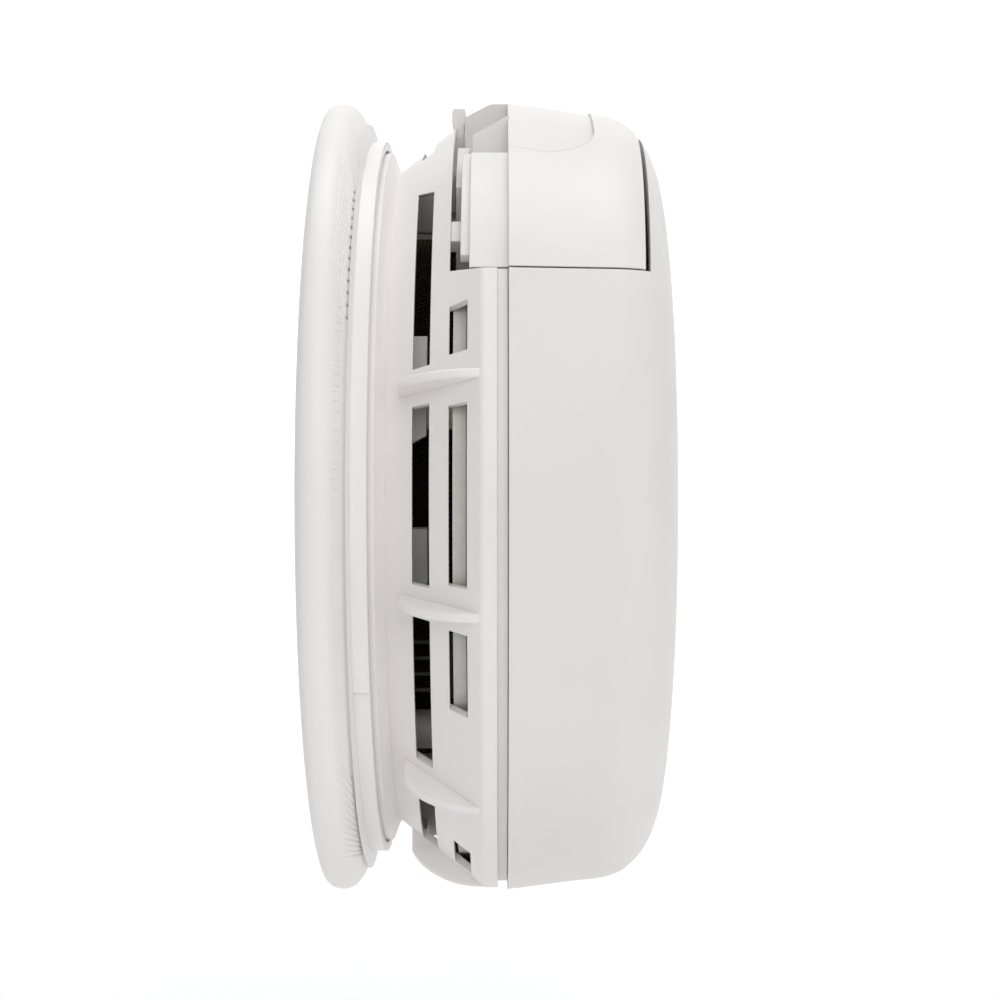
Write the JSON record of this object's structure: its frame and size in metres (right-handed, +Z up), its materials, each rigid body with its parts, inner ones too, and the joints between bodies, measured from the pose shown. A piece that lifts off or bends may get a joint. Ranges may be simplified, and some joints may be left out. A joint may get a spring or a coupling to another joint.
{
  "type": "smoke alarm",
  "caption": "Round domestic smoke alarm on a twist-lock wall bracket, with a vented base, domed cover, test button, horn grille and side-loading battery drawer.",
  "frame": {"origin": "centre of the mounting bracket's wall face", "axes": "+X out of the wall along the alarm's axis, +Z up, with the battery drawer at the top, and +Y to the right when facing the wall"},
  "size_m": [0.0603, 0.1418, 0.1418],
  "materials": {
    "bracket_plastic": "fine matte moulding",
    "base_plastic": "fine matte moulding",
    "cover_plastic": "fine matte moulding",
    "drawer_plastic": "fine matte moulding",
    "tab_plastic": "fine matte moulding",
    "button_plastic": "fine matte moulding",
    "bay_plastic": "fine matte moulding",
    "pin_steel": "satin",
    "screw_steel": "zinc plated",
    "board_laminate": "tan laminate with a green front",
    "chamber_black": "light-absorbing matte",
    "screen_steel": "woven mesh",
    "sensor_epoxy": "tinted clear epoxy",
    "can_metal": "tinned steel",
    "source_metal": "satin",
    "horn_plastic": "fine matte moulding",
    "brass": "satin",
    "piezo_ceramic": "matte, silvered face",
    "switch_black": "matte",
    "plunger_plastic": "matte",
    "spring_steel": "bright wire",
    "lamp_green": "tinted clear epoxy",
    "lamp_red": "tinted clear epoxy",
    "light_pipe": "clear moulded",
    "chip_black": "matte epoxy",
    "capacitor_sleeve": "shrink sleeve",
    "ferrite": "matte",
    "resistor_ceramic": "matte",
    "film_box": "moulded",
    "contact_nickel": "nickel plated",
    "cell_wrap": "printed foil sleeve, no lettering"
  },
  "bodies": {
    "bracket": {"mounting_bracket": "bracket_plastic"},
    "alarm": {"base_housing": "base_plastic", "release_tab_pin": "pin_steel", "front_cover": "cover_plastic", "circuit_board": "board_laminate", "board_screws": "screw_steel", "battery_bay": "bay_plastic", "bay_contacts": "contact_nickel", "chamber_base": "chamber_black", "chamber_cap": "chamber_black", "vent_screen": "screen_steel", "infrared_emitter": "sensor_epoxy", "photo_receiver": "sensor_epoxy", "ion_can": "can_metal", "ion_collector": "source_metal", "ion_source_holder": "source_metal", "horn_housing": "horn_plastic", "horn_disc": "brass", "horn_ceramic": "piezo_ceramic", "tact_switch": "switch_black", "switch_plunger": "plunger_plastic", "spring_seat": "bay_plastic", "button_spring": "spring_steel", "power_lamp": "lamp_green", "alarm_lamp": "lamp_red", "light_pipes": "light_pipe", "microcontroller": "chip_black", "horn_driver": "chip_black", "capacitors": "capacitor_sleeve", "boost_inductor": "ferrite", "resistors": "resistor_ceramic", "film_capacitor": "film_box", "pin_header": "switch_black"},
    "drawer": {"battery_drawer": "drawer_plastic", "inner_cell": "cell_wrap", "outer_cell": "cell_wrap", "drawer_contacts": "contact_nickel", "drawer_springs": "spring_steel"},
    "release_tab": {"release_tab": "tab_plastic"},
    "test_button": {"test_button": "button_plastic"}
  },
  "joints": [
    {"name": "alarm_twist", "type": "hinge", "parent": "bracket", "child": "alarm", "pos_m": [0, 0, 0], "axis": [1, 0, 0], "range_deg": [0, 15]},
    {"name": "drawer_slide", "type": "slide", "parent": "alarm", "child": "drawer", "axis": [0, 0, 1], "range_m": [0, 0.04]},
    {"name": "tab_press", "type": "hinge", "parent": "alarm", "child": "release_tab", "pos_m": [0.022, 0, 0.05], "axis": [0, -1, 0], "range_deg": [0, 5], "stiffness_Nm_per_rad": 0.01, "springref_deg": -6.88},
    {"name": "button_press", "type": "slide", "parent": "alarm", "child": "test_button", "axis": [-1, 0, 0], "range_m": [0, 0.0012], "stiffness_N_per_m": 300, "springref_m": -0.003, "deforming": ["button_spring"]}
  ]
}
